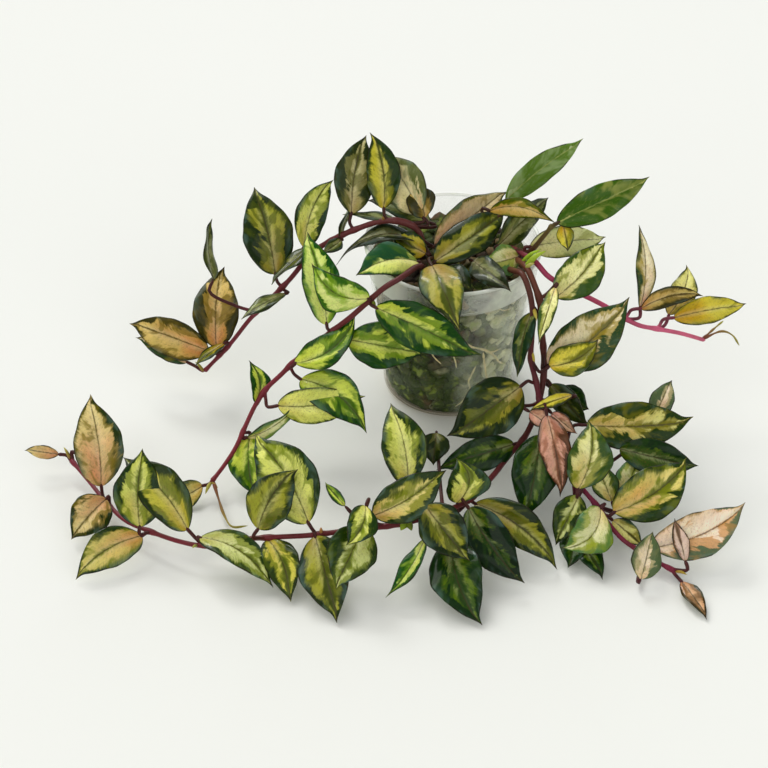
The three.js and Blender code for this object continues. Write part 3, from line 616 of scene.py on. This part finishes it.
class Wiring:
    """Short ways to place and join a material's nodes."""

    def __init__(self, name):
        self.material = bpy.data.materials.new(name)
        self.material.use_nodes = True
        self.tree = self.material.node_tree
        self.tree.nodes.clear()
        output = self.tree.nodes.new("ShaderNodeOutputMaterial")
        self.shader = self.tree.nodes.new("ShaderNodeBsdfPrincipled")
        self.tree.links.new(self.shader.outputs[0], output.inputs["Surface"])

    def fill(self, node, inputs):
        for key, value in inputs.items():
            if isinstance(value, Value):
                self.tree.links.new(value.socket, node.inputs[key])
            else:
                node.inputs[key].default_value = value

    def add(self, kind, inputs, output=0, **settings):
        """Places a node and returns one of its outputs."""
        node = self.tree.nodes.new(kind)
        for key, value in settings.items():
            setattr(node, key, value)
        self.fill(node, inputs)
        return Value(self, node.outputs[output])

    def read(self, name, output="Color"):
        return self.add("ShaderNodeAttribute", {}, output, attribute_name=name)

    def here(self):
        return self.add("ShaderNodeTexCoord", {}, "Object")

    def parts(self, vector):
        split = self.add("ShaderNodeSeparateXYZ", {0: vector})
        return [Value(self, socket) for socket in split.socket.node.outputs]

    def sum(self, operation, *terms, clamp=False):
        return self.add(
            "ShaderNodeMath", dict(enumerate(terms)), operation=operation, use_clamp=clamp)

    def cloud(self, vector, scale, detail=2, roughness=0.5, twist=0):
        return self.add("ShaderNodeTexNoise", {
            "Vector": vector, "Scale": scale, "Detail": detail, "Roughness": roughness,
            "Distortion": twist})

    def field(self, x, y, z, detail=2, roughness=0.5, twist=0):
        """A cloud whose place is reckoned for each axis by itself."""
        place = self.add("ShaderNodeCombineXYZ", {0: x, 1: y, 2: z})
        return self.cloud(place, 1, detail, roughness, twist)

    def step(self, value, low, high, top=1):
        """Rises smoothly from 0 to top between low and high, also where high is the smaller."""
        return self.add(
            "ShaderNodeMapRange",
            {"Value": value, "From Min": low, "From Max": high, "To Max": top},
            interpolation_type="SMOOTHSTEP")

    def mix(self, factor, a, b):
        a, b = (linear(colour) if isinstance(colour, int) else colour for colour in (a, b))
        return self.add("ShaderNodeMix", {0: factor, 6: a, 7: b}, 2, data_type="RGBA")

    def coats(self, colour, *coats):
        """Lays coats over a colour. Each has its cover, from 0 to 1, and its own colour."""
        for cover, coat in coats:
            colour = self.mix(cover, colour, coat)
        return colour

    def bump(self, height, strength, distance):
        normal = self.add("ShaderNodeBump", {
            "Height": height, "Strength": strength, "Distance": distance})
        self.set(Normal=normal)

    def set(self, **values):
        self.fill(self.shader, {key.replace("_", " "): value for key, value in values.items()})


def leaf_material():
    """Waxy leaf: a pale heart inside a ragged dark margin, with a paler underside."""
    w = Wiring("waxy_leaf")
    step, mix, field = w.step, w.mix, w.field
    u, s, rim = w.parts(w.read("place", "Vector"))
    grain = w.read("grain", "Vector")
    x, y, seed = w.parts(grain)
    left, right, flame = w.parts(w.read("cut", "Vector"))
    under, patches, lean = w.parts(w.read("face", "Vector"))
    heart, blush, middle, dark = (w.read(name) for name in PAINTS)
    side = w.sum("GREATER_THAN", u, 0)
    far = abs(x)
    inward = 1 - abs(u)

    # Streaks that run along the side veins, lobes, patches and specks, in millimetres.
    climb = y - far * 0.75
    turn = side * 4.3 + seed * 3.1
    streak = field(far * 0.09, climb * 0.3, turn, 3, 0.6, 0.4)
    lobe = field(x * 0.1, climb * 0.085, turn, 2, 0.45, 0.9)
    blotch = field(x * 0.12, climb * 0.09, turn + 9, 2, 0.5, 0.6)
    isle = field(x * 0.12, climb * 0.08, turn + 21, 2, 0.45, 0.8)
    wash = field(x * 0.09, y * 0.06, seed + 4)
    drift = field(x * 0.07, y * 0.05, turn + 33)
    mottle = field(x * 0.8, climb * 0.55, turn, 3, 0.65)
    speck = w.cloud(grain, 1.1, 3, 0.6)
    fray = field(far * 0.32, climb * 0.75, turn, 3, 0.65) * 0.36 - 0.18
    ragged = lobe * 4 - 2 + (streak * 0.6 - 0.3)
    vein = w.sum("SINE", speck * 1.6 + climb * 1.25)

    # Dark margin, crisp in most places, with an olive layer that reaches a little further in.
    share = (side * left + (1 - side) * right) * (step(s, 0, 0.3) * 0.5 + 0.6)
    share = share + step(s, 0.68, 1.02, 0.36)
    depth = share * (ragged * 0.8 + 1.1) + (ragged * 0.05 + 0.02) - inward + fray
    soft = step(drift, 0.4, 0.64, 0.17)
    margin = step(depth, soft * -0.8 - 0.03, soft + 0.05)
    further = depth + share * step(isle, 0.45, 0.62, 1.3)

    # Green flame along the midrib, green patches, and the blush at the base.
    width = flame * step(s, 0.05, 0.75) * (ragged * 0.8 + 1.1)
    within = width - abs(u) + fray * 0.6
    core = step(within, 0.03, 0.17, 0.6)
    patch = blotch + fray * 0.3 - (patches * -0.3 + 0.73)
    warm = lean * 0.4 - 0.02 + (wash * 0.9 - 0.45)

    # Midrib, rust specks near the base, and a painted bluish sheen, standing for reflected light,
    # on parts of the margins.
    midrib = (1 - step(far, 0.15, 0.6)) * step(streak, 0.3, 0.6, 0.7)
    rust = step(speck, 0.52, 0.7, 0.34) * (1 - step(s, 0.25, 0.8, 0.7))
    painted_sheen = step(isle, 0.5, 0.64, 0.3) * step(1 - inward, 0.55, 1)
    colour = w.coats(
        heart,
        (0.9 - step(s - warm, -0.2, 0.35, 0.9), blush),
        (step(wash, 0.48, 0.72, 0.35), mix(0.35, middle, heart)),
        (step(drift, 0.44, 0.66, 0.42), mix(0.5, heart, 0x96AC3A)),
        (step(further, -0.6, 0.1, 0.5), mix(0.5, middle, heart)),
        (step(streak, 0.45, 0.7, 0.12), middle),
        (step(inward, 0.6, 0.98, 0.2), 0xFFFACE),
        (step(patch, -0.06, 0.06, 0.72), middle),
        (step(within, -0.07, 0.08, 0.85), middle),
        (core, dark),
        (step(further, -0.1, 0.07, 0.72), middle),
        (margin, dark),
        (margin * step(blotch, 0.5, 0.7, 0.5), middle),
        # painted sheen: a bluish reflection laid into the colour on parts of the margins
        (painted_sheen, 0x709288),
        (step(vein, 0.6, 1, 0.06), 0x3C3C1E),
        (step(mottle, 0.48, 0.3, 0.34), mix(0.5, middle, dark)),
        (midrib, mix(step(left, 1, 1.2), 0x42321A, 0xB0BA60)),
        ((1 - step(rim, 0.35, 0.9)) * step(lobe, 0.4, 0.56, 0.85), 0x221E12),
        (rust * (1 - w.sum("MAXIMUM", margin, core)), 0x804A30))

    # The underside is paler and greyer, with the pattern showing faintly.
    colour = mix(under, colour, mix(0.72, colour, 0x707A58))
    w.set(
        Base_Color=colour, Roughness=speck * 0.2 + (under * 0.15 + 0.26),
        Specular_IOR_Level=0.08, Specular_Tint=(0.86, 0.96, 0.76, 1),
        Coat_Weight=0.28, Coat_Roughness=0.1,
        Subsurface_Weight=0.2, Subsurface_Radius=(1, 0.9, 0.25), Subsurface_Scale=0.0008)
    w.bump(vein * 0.06 + speck * 0.28 + lobe * 1.6, 0.4, 0.001)
    return w.material


def stem_material():
    """Smooth burgundy stem skin with soft stains, pale pores and dark flecks."""
    w = Wiring("stem_skin")
    here = w.here()
    fleck = w.cloud(here, 900, 3, 0.6)
    colour = w.coats(
        w.read("heart"),
        (w.step(w.cloud(here, 110), 0.35, 0.7, 0.3), 0x542C1E),
        (w.step(fleck, 0.58, 0.78, 0.22), 0xB08270),
        (w.step(fleck, 0.45, 0.25, 0.4), 0x30181A))
    w.set(Base_Color=colour, Roughness=fleck * 0.3 + 0.2, Specular_IOR_Level=0.2)
    w.bump(fleck, 0.3, 0.0003)
    return w.material


def clear_plastic():
    """Thin clear plastic, milky in its rim band, with a dusty film and mist inside its wall, and
    painted highlights at its lip, band line and far right edge.
    """
    w = Wiring("clear_plastic")
    step = w.step
    here = w.here()
    x, y, z = w.parts(here)
    film = w.cloud(here, 35, 3, 0.6)
    dust = w.cloud(here, 420, 2, 0.6)
    droplets = w.cloud(here, 160, 3, 0.6)
    facing = w.add("ShaderNodeLayerWeight", {"Blend": 0.35}, "Facing")

    # The band's lower line and the lip, made more opaque so that their white reads as painted
    # highlight lines; and the foot.
    edges = step(z, 0.0843, 0.0851) * (1 - step(z, 0.0857, 0.0865)) * 0.4
    edges = edges + step(z, 0.1012, 0.1020, 0.3) + step(z, 0.0042, 0.0016, 0.34)

    # Mist on the front right; at the far right it thickens into a strip whose white is a painted
    # highlight.
    misted = step(film * 0.03 + y, 0.022, -0.014) * step(film * 0.05 + x, 0.015, 0.062)
    mist_and_highlight = step(droplets, 0.35, 0.65, 0.14) + step(film, 0.35, 0.65, 0.08)
    mist_and_highlight = misted * (mist_and_highlight + step(film * 0.03 + x, 0.044, 0.060, 0.42) + 0.05)

    # The milky band, most at both sides, and a haze below it on the left.
    milky = (step(x, 0.038, 0.052, 0.3) + step(x, -0.02, -0.044, 0.3)) * step(y, 0.03, -0.01)
    band = step(z, 0.0852, 0.0866) * (milky + (misted * 0.42 + 0.06))
    band = band + step(z, 0.066, 0.087, 0.24) * step(x, -0.01, -0.04)
    alpha = band + edges + mist_and_highlight + step(film, 0.5, 0.75, 0.05) + facing ** 3 * 0.24
    colour = w.coats(
        0xFCFFF4,
        (step(film, 0.35, 0.65), 0xF2FAE4),
        (step(z, 0.006, 0.0015, 0.85), 0xC4AA78))
    w.set(
        Base_Color=colour, Roughness=film * 0.12 + 0.1, Specular_IOR_Level=0.6, IOR=1.49,
        Alpha=w.sum("ADD", alpha, step(dust, 0.62, 0.75, 0.04), clamp=True))
    w.bump(dust, 0.12, 0.0003)
    return w.material


def bark_material():
    """Bark chips and fines with green algae, painted pale behind the pot's misted front right to
    stand for light shining through the wall.
    """
    w = Wiring("bark_chips")
    step, mix = w.step, w.mix
    here = w.here()
    x, y, z = w.parts(here)
    chip = w.read("heart")
    grain = w.cloud(here, 300, 4, 0.65)
    fibre = w.cloud(here, 1100, 2, 0.6)
    algae = w.cloud(here, 55, 3, 0.6)
    lush = w.cloud(here, 130)
    green = mix(step(fibre, 0.35, 0.65), 0x1E2E08, 0x465C14)
    green = mix(step(lush, 0.56, 0.68, 0.8), green, 0x8CA038)
    growth = algae + (1 - step(z, 0.02, 0.085)) * 0.14
    # Painted light: the chips behind the misted front-right wall are paled, as if lit through it.
    painted_backlight = step(algae * 0.04 + x, 0.022, 0.048, 0.9) * step(z, 0.086, 0.080)
    painted_backlight = painted_backlight * step(algae * 0.03 + y, 0.022, -0.014)
    pale = mix(step(chip, 0.015, 0.14), 0x707A54, 0xFFFFCE)
    colour = w.coats(
        mix(0.55, chip, 0x16120E),
        (step(grain, 0.3, 0.7), chip),
        (step(growth, 0.44, 0.58, 0.9), green),
        (step(fibre, 0.68, 0.8, 0.5), 0xA89676),
        # painted light: pale chips behind the misted wall
        (painted_backlight, mix(step(lush, 0.46, 0.66, 0.5), pale, 0xB0BE78)))
    w.set(Base_Color=colour, Roughness=grain * 0.25 + 0.65, Specular_IOR_Level=0.3)
    w.bump(grain + fibre * 0.4, 0.7, 0.0008)
    return w.material


def root_material():
    """Pale tan roots against the wall, greener in places."""
    w = Wiring("pale_roots")
    here = w.here()
    fine = w.cloud(here, 800, 2, 0.6)
    colour = w.coats(
        w.read("heart"),
        (w.step(w.cloud(here, 70), 0.45, 0.65, 0.4), 0xA0A864),
        (w.step(fine, 0.5, 0.7, 0.35), 0x786444))
    w.set(Base_Color=colour, Roughness=fine * 0.2 + 0.5)
    w.bump(fine, 0.4, 0.0003)
    return w.material


def floor_material():
    """Plain matt off-white paint."""
    w = Wiring("plain_floor")
    w.set(Base_Color=w.mix(w.cloud(w.here(), 2, 1, 0.4), 0xF6F6F1, 0xF3F4EE), Roughness=0.75)
    return w.material


# -------- the vines
STALK_STEPS = 14
BUD_STEPS = 12
SHOOT_STEPS = 30
STALK = tube_pattern(8, STALK_STEPS)
BUD = tube_pattern(10, BUD_STEPS)
SHOOT = tube_pattern(10, SHOOT_STEPS)
leaf = leaf_material()
skin = stem_material()


def grow_leaves(node, stems):
    """All the blades of a vine. Each leaf's number gives it its own small differences."""
    bm = bmesh.new()
    vectors = [bm.verts.layers.float_vector.new(name) for name in MARKS]
    paints = [paint_layer(bm, name) for name in PAINTS]
    for number, row in enumerate(LEAVES):
        if row[0] in stems:
            lay_blade(bm, vectors, paints, row, number)
    finished(bm, node + "_leaves", leaf, node)


def lay_stem(bm, layer, name):
    """A main stem, which tapers to its end and swells where a stalk leaves it."""
    path = paths[name]
    knots = sorted({share_of(name, row[1]) * path.length for row in LEAVES if row[0] == name})
    along = max(40, round(path.length / 1.3))

    def radius(share):
        here = share * path.length
        swell = sum(math.exp(-(((here - knot) / 2.6) ** 2)) for knot in knots)
        end = min(1.0, max(0.0, here / 1.2), max(0.0, (path.length - here) / 1.2)) ** 0.5
        thick = STEM_ROOT_RADIUS + (STEM_TIP_RADIUS - STEM_ROOT_RADIUS) * share
        return (thick - 0.12 + 0.4 * min(1.2, swell)) * end

    pattern = tube_pattern(14, along)
    lay_tube(bm, pattern, path, along, radius, graded(SKINS[name]), layer)


def lay_shoot(bm, layer, thick, points):
    """A thin bare shoot with small joints."""

    def radius(t):
        joint = 1 + 0.25 * math.sin(16 * t)
        return thick * (1 - 0.4 * t) * joint * min(1, (1 - t) * 9) ** 0.5

    lay_tube(bm, SHOOT, Path(points), SHOOT_STEPS, radius, graded(SHOOT_COLOURS), layer)


def lay_bud(bm, layer, foot, tip, thick, colours):
    """A pointed bud, bent a little upwards."""
    foot, tip = Vector(foot), Vector(tip)
    bend = foot.lerp(tip, 0.5) + Vector((0, 0, 0.12 * (tip - foot).length))
    lay_tube(
        bm, BUD, Path([foot, bend, tip], 8), BUD_STEPS,
        lambda t: max(0.02, thick * math.sin(math.pi * min(1, 0.12 + 0.88 * t) ** 0.8) ** 0.8),
        graded(colours), layer)


def lay_stalk(bm, layer, row):
    """A leaf's stalk, which darkens from the stem's colour."""
    base = graded(SKINS[row[0]])(share_of(row[0], row[1]))
    dark = blend(base, linear(0x321E18), 0.78)

    def radius(t):
        flare = 0.92 + 0.45 * math.exp(-((t / 0.12) ** 2)) + 0.12 * t
        return STALK_RADIUS * flare * min(1, (1 - t) * 8) ** 0.5

    lay_tube(
        bm, STALK, stalk_path(*row[:11]), STALK_STEPS, radius,
        lambda t: blend(base, dark, min(1, t * 3)), layer)


def grow_stems(node, stems):
    """A vine's stems, with their shoots, buds and stalks."""
    bm = bmesh.new()
    layer = paint_layer(bm)
    for name in stems:
        lay_stem(bm, layer, name)
    for stem, *shoot in SHOOTS:
        if stem in stems:
            lay_shoot(bm, layer, *shoot)
    for stem, *bud in BUDS:
        if stem in stems:
            lay_bud(bm, layer, *bud)
    for row in LEAVES:
        if row[0] in stems:
            lay_stalk(bm, layer, row)
    finished(bm, node + "_stem", skin)


for node, stems in VINES.items():
    grow_leaves(node, stems)
    grow_stems(node, stems)


# -------- the pot
def inner_radius(z):
    return FOOT_RADIUS + (NECK_RADIUS - FOOT_RADIUS) * min(1, z / BAND_FOOT) - WALL


def turned(profile, steps):
    """A closed shape turned round the pot's axis from a profile that starts and ends on it."""
    bm = bmesh.new()
    corners = [bm.verts.new((r, 0, z)) for r, z in profile]
    edges = [bm.edges.new(pair) for pair in zip(corners, corners[1:])]
    bmesh.ops.spin(
        bm, geom=corners + edges, cent=(0, 0, 0), axis=(0, 0, 1), angle=2 * math.pi,
        steps=steps, use_merge=True)
    bmesh.ops.remove_doubles(bm, verts=bm.verts, dist=0.001)
    bmesh.ops.recalc_face_normals(bm, faces=bm.faces)
    # A fresh bmesh has no gaps in its list, so points that are added later come last.
    fresh = bmesh.new()
    fresh.from_mesh(mesh_of(bm))
    return fresh


def rounded(profile, reach):
    """A profile with each inner corner turned into a short arc."""
    points = [Vector(point) for point in profile]
    out = [points[0]]
    for before, here, after in zip(points, points[1:], points[2:]):
        cut = min(reach, (before - here).length * 0.4, (after - here).length * 0.4)
        start = here + (before - here).normalized() * cut
        end = here + (after - here).normalized() * cut
        for t in (0, 1 / 3, 2 / 3, 1):
            out.append(start * (1 - t) ** 2 + here * (2 * t * (1 - t)) + end * t**2)
    return out + [points[-1]]


def make_pot():
    """The cup with its band and rolled lip, and its floor drilled through."""
    rim, foot, neck, band, top = RIM_RADIUS, FOOT_RADIUS, NECK_RADIUS, BAND_FOOT, POT_HEIGHT
    profile = rounded([
        (0, 0), (foot - 1.8, 0), (foot, 2), (neck, band - 0.6), (rim - 2, band + 0.4),
        (rim - 1.2, top - 2.8), (rim, top - 2.2), (rim, top - 0.7), (rim - 0.8, top),
        (rim - 2.2, top - 0.4), (rim - 2.3, top - 3), (rim - 2 - WALL, band + 1.4),
        (neck - WALL, band - 0.6), (inner_radius(FLOOR + 1.4), FLOOR + 1.4),
        (inner_radius(FLOOR) - 1.4, FLOOR), (0, FLOOR)], CORNER)
    piece = finished(turned(profile, POT_STEPS), "clear_pot", clear_plastic(), "pot")
    bm = bmesh.new()
    for k in range(DRAIN_HOLES):
        turn = 2 * math.pi * (k + 0.5) / DRAIN_HOLES
        place = (DRAIN_CIRCLE * math.cos(turn), DRAIN_CIRCLE * math.sin(turn), FLOOR / 2)
        bmesh.ops.create_cone(
            bm, cap_ends=True, segments=32, radius1=DRAIN_RADIUS, radius2=DRAIN_RADIUS,
            depth=FLOOR * 4, matrix=Matrix.Translation(place))
    bmesh.ops.scale(bm, vec=(MM, MM, MM), verts=bm.verts)
    drill = bpy.data.objects.new("drill", mesh_of(bm, "drill"))
    scene.collection.objects.link(drill)
    bore = piece.modifiers.new("drain_holes", "BOOLEAN")
    bore.operation, bore.solver, bore.object = "DIFFERENCE", "EXACT", drill
    bpy.context.view_layer.update()
    drilled = piece.evaluated_get(bpy.context.evaluated_depsgraph_get())
    cut = bpy.data.meshes.new_from_object(drilled)
    piece.modifiers.clear()
    piece.data = cut
    bpy.data.objects.remove(drill)


# -------- the mix
def chip_pattern():
    """A small broken piece of bark, with softened corners."""
    bm = bmesh.new()
    bmesh.ops.create_cube(bm, size=1)
    bmesh.ops.subdivide_edges(bm, edges=bm.edges[:], cuts=1, use_grid_fill=True)
    for v in bm.verts:
        v.co = v.co.lerp(v.co.normalized() * 0.62, 0.55)
    return mesh_of(bm)


CHIP = chip_pattern()


def turn_by(axis, low, high):
    """A random turn about an axis."""
    return Matrix.Rotation(rng.uniform(low, high), 3, axis)


def lay_chip(bm, layer, place, size, turn, colour):
    """One chip, broken unevenly, turned and put in its place."""
    seed = Vector([rng.uniform(0, 90) for _ in range(3)])
    shade = linear(colour)
    for v in lay_pattern(bm, CHIP):
        rough = noise.noise(v.co * 1.7 + seed) * 0.28
        v.co = place + turn @ Vector(c * s for c, s in zip(v.co * (1 + rough), size))
        v[layer] = shade


def inside_wall(verts, keep):
    """Draws in whatever would touch the pot's wall."""
    for v in verts:
        reach = math.hypot(v.co.x, v.co.y)
        most = inner_radius(max(0, v.co.z)) - keep
        if reach > most:
            v.co.x *= most / reach
            v.co.y *= most / reach
        v.co.z = max(v.co.z, FLOOR + SEAT_GAP + 0.1)


def make_mix():
    """A lumpy body of dark fines with chips set in its side."""
    low, high = FLOOR + SEAT_GAP, MIX_TOP - 0.6
    layers = range(MIX_LAYERS + 1)
    heights = [low + (MIX_TOP - 3 - low) * k / MIX_LAYERS for k in layers]
    profile = [(0, low)]
    profile += [(inner_radius(z) - SEAT_GAP - (2.2 if z < 3 else 1.2), z) for z in heights]
    edge = profile[-1][0]
    profile += [(edge * t, high) for t in (0.94, 0.84, 0.72, 0.6, 0.48, 0.36, 0.24, 0.12, 0)]
    bm = turned(profile, MIX_STEPS)
    layer = paint_layer(bm)
    for v in bm.verts:
        v[layer] = linear(0x32281E)
        lump = noise.fractal(v.co * 0.16, 0.6, 2.0, 4)
        if v.co.z > MIX_TOP - 3.4:
            v.co.z += 1.5 * lump + 0.3
        elif v.co.z > low + 1:
            draw = 1 - (1.1 + 1.3 * lump) / max(1, math.hypot(v.co.x, v.co.y))
            v.co.x *= min(1, draw)
            v.co.y *= min(1, draw)
    body = len(bm.verts)
    for k in range(CHIPS):
        z = 5 + (MIX_TOP - 9) * ((k + 0.5) / CHIPS)
        angle = k * GOLDEN_TURN + rng.uniform(-0.2, 0.2)
        size = Vector((rng.uniform(2.4, 4.2), rng.uniform(4, 11), rng.uniform(3, 8)))
        reach = inner_radius(z) - 0.7 - size.x * 0.45
        turn = Matrix.Rotation(angle, 3, "Z") @ turn_by("X", -0.9, 0.9)
        place = Vector((reach * math.cos(angle), reach * math.sin(angle), z))
        lay_chip(bm, layer, place, size, turn, rng.choice(BARKS))
    inside_wall(bm.verts[body:], 0.75)
    finished(bm, "bark_mix", bark_material(), "potting_mix")


def make_top_chips():
    """Loose chips on top of the mix, smaller where a stem comes out."""
    bm = bmesh.new()
    layer = paint_layer(bm)
    exits = [Vector(path[1]).xy for name, path in STEMS.items() if name != "upright"]
    for k in range(TOP_CHIPS):
        angle = k * GOLDEN_TURN
        reach = TOP_REACH * math.sqrt((k + 0.5) / TOP_CHIPS)
        spot = Vector((reach * math.cos(angle), reach * math.sin(angle)))
        size = Vector((rng.uniform(5, 13), rng.uniform(4, 8), rng.uniform(2.2, 4)))
        if any((spot - stem).length < EXIT_CLEAR for stem in exits):
            size *= 0.75
        turn = turn_by("Z", 0, 6.3) @ turn_by("X", -0.4, 0.4) @ turn_by("Y", -0.4, 0.4)
        place = Vector((*spot, MIX_TOP + rng.uniform(-0.6, 1.4)))
        lay_chip(bm, layer, place, size, turn, rng.choice(TOP_BARKS))
    inside_wall(bm.verts, 0.6)
    finished(bm, "top_chips", bark_material())


def on_wall(angle, z, gap):
    """A point inside the pot's wall, at a gap from it."""
    reach = inner_radius(z) - gap
    return reach * math.cos(angle), reach * math.sin(angle), z


def make_roots():
    """Roots against the wall: the known ones at the front, and fine ones round the rest."""
    bm = bmesh.new()
    layer = paint_layer(bm)
    pattern = tube_pattern(8, ROOT_STEPS)

    def lay_root(points, thick, colour):
        lay_tube(
            bm, pattern, Path(points, 8), ROOT_STEPS,
            lambda t: thick * min(1, t * 9, (1 - t) * 5) ** 0.5 * (1 + 0.15 * math.sin(23 * t)),
            lambda t: linear(colour), layer)

    for thick, run in WALL_ROOTS:
        lay_root([on_wall(math.radians(a), z, 0.8) for a, z in run], thick, 0xFAEAAC)
    for k in range(FINE_ROOTS):
        angle = k * GOLDEN_TURN + 0.4
        z = rng.uniform(10, 78)
        lean = rng.uniform(-0.5, 0.5)
        points = []
        for _ in range(rng.randint(7, 14)):
            points.append(on_wall(angle, z, 0.55))
            lean = lean * 0.85 + rng.uniform(-0.4, 0.4)
            angle += 0.1 * math.cos(lean) * (1 if k % 2 else -1)
            z = min(84, max(4, z + 6.5 * math.sin(lean) - 1.2))
        thick = rng.uniform(0.24, 0.42)
        if min(points[0][1], points[-1][1]) >= -20:
            lay_root(points, thick, 0xBEAA7E)
    inside_wall(bm.verts, 0.12)
    finished(bm, "roots", root_material())


make_pot()
make_mix()
make_top_chips()
make_roots()


# -------- floor, light and camera
# Places and reaches are in metres here.
GROUND_REACH = 6
CAMERA_PLACE = (-0.0398, -0.8019, 0.6544)
CAMERA_RIGHT = (0.99994517, 0.00666087, 0.00808029)
CAMERA_UP = (-0.01047178, 0.63604334, 0.77158227)
CAMERA_BACK = (0, -0.77162458, 0.63607822)
FILM_WIDTH = 36  # in millimetres
FOCAL_SHARE = 1650 / 768  # focal length as a share of the picture's width

# Each light: where it stands, how soft it is in degrees, its power and its colour.
LIGHTS = {
    "window": ((-1.0, 1.2, 1.9), 44, 1.35, (1.0, 0.985, 0.95)),
    "pane": ((-0.7, 1.6, 1.7), 13, 0.45, (0.96, 0.98, 1.0)),
    "sky": ((0.6, 2.0, 0.9), 40, 0.45, (0.84, 0.93, 1.0)),
    "fill": ((-0.9, -1.2, 1.2), 50, 0.55, (1.0, 0.99, 0.97)),
    "side": ((0.9, -1.0, 0.9), 50, 0.5, (1.0, 1.0, 0.98)),
}
ROOM_COLOUR = (0.98, 0.99, 1.0, 1)
ROOM_LIGHT = 0.34


def make_floor():
    bm = bmesh.new()
    bmesh.ops.create_grid(bm, x_segments=1, y_segments=1, size=GROUND_REACH)
    floor = bpy.data.objects.new("floor", mesh_of(bm, "floor"))
    scene.collection.objects.link(floor)
    floor.data.materials.append(floor_material())


def make_light(name, place, spread, power, colour):
    """A soft far light that shines from a place towards the pot."""
    data = bpy.data.lights.new(name, "SUN")
    data.angle, data.energy, data.color = math.radians(spread), power, colour
    light = bpy.data.objects.new(name, data)
    light.location = place
    light.rotation_euler = (-Vector(place)).to_track_quat("-Z", "Y").to_euler()
    scene.collection.objects.link(light)


def make_camera():
    data = bpy.data.cameras.new("camera")
    data.sensor_width, data.lens = FILM_WIDTH, FOCAL_SHARE * FILM_WIDTH
    data.clip_start, data.clip_end = 0.05, 50
    camera = bpy.data.objects.new("camera", data)
    turn = Matrix((CAMERA_RIGHT, CAMERA_UP, CAMERA_BACK)).transposed()
    camera.matrix_world = Matrix.Translation(CAMERA_PLACE) @ turn.to_4x4()
    scene.collection.objects.link(camera)
    scene.camera = camera


make_floor()
for name, light in LIGHTS.items():
    make_light(name, *light)
scene.world = scene.world or bpy.data.worlds.new("room")
scene.world.use_nodes = True
room = scene.world.node_tree.nodes["Background"]
room.inputs["Color"].default_value = ROOM_COLOUR
room.inputs["Strength"].default_value = ROOM_LIGHT
scene.view_settings.view_transform = "Standard"
make_camera()
